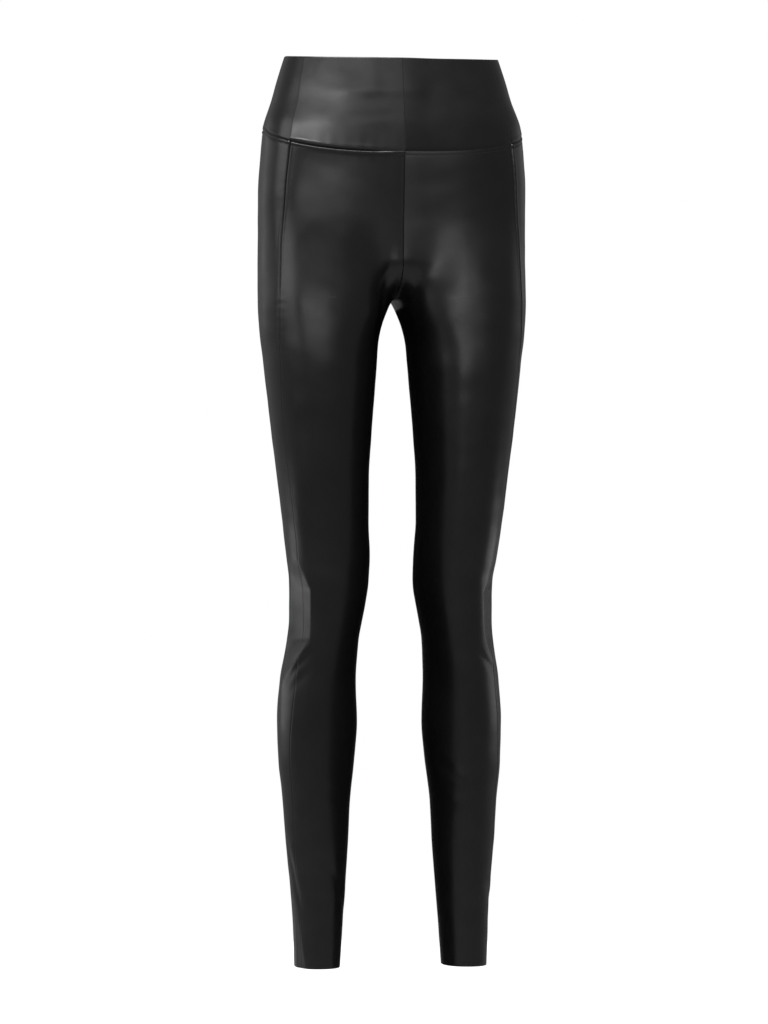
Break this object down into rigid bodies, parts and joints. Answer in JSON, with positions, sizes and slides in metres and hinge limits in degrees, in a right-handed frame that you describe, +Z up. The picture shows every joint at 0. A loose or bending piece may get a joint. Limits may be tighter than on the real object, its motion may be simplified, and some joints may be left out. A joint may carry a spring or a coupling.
{
  "type": "faux leather leggings",
  "caption": "High-waisted faux leather leggings with a contoured waistband and forward outseams, filled out as worn, open at the waist and hems.",
  "frame": {"origin": "centre of the waist opening, level with the waistband's top edge at the sides, where the wearer's waist holds the leggings", "axes": "+Z up, out of the waist opening; the front of the leggings faces -Y; the wearer's left leg is on +X"},
  "size_m": [0.2992, 0.2027, 1.015],
  "materials": {
    "faux_leather": "smooth black coated cloth with a satin gloss"
  },
  "bodies": {
    "root": {"waistband_front_right": "faux_leather", "waistband_front_left": "faux_leather", "waistband_back": "faux_leather", "leg_front_right": "faux_leather", "leg_front_left": "faux_leather", "leg_back_right": "faux_leather", "leg_back_left": "faux_leather"}
  },
  "joints": []
}
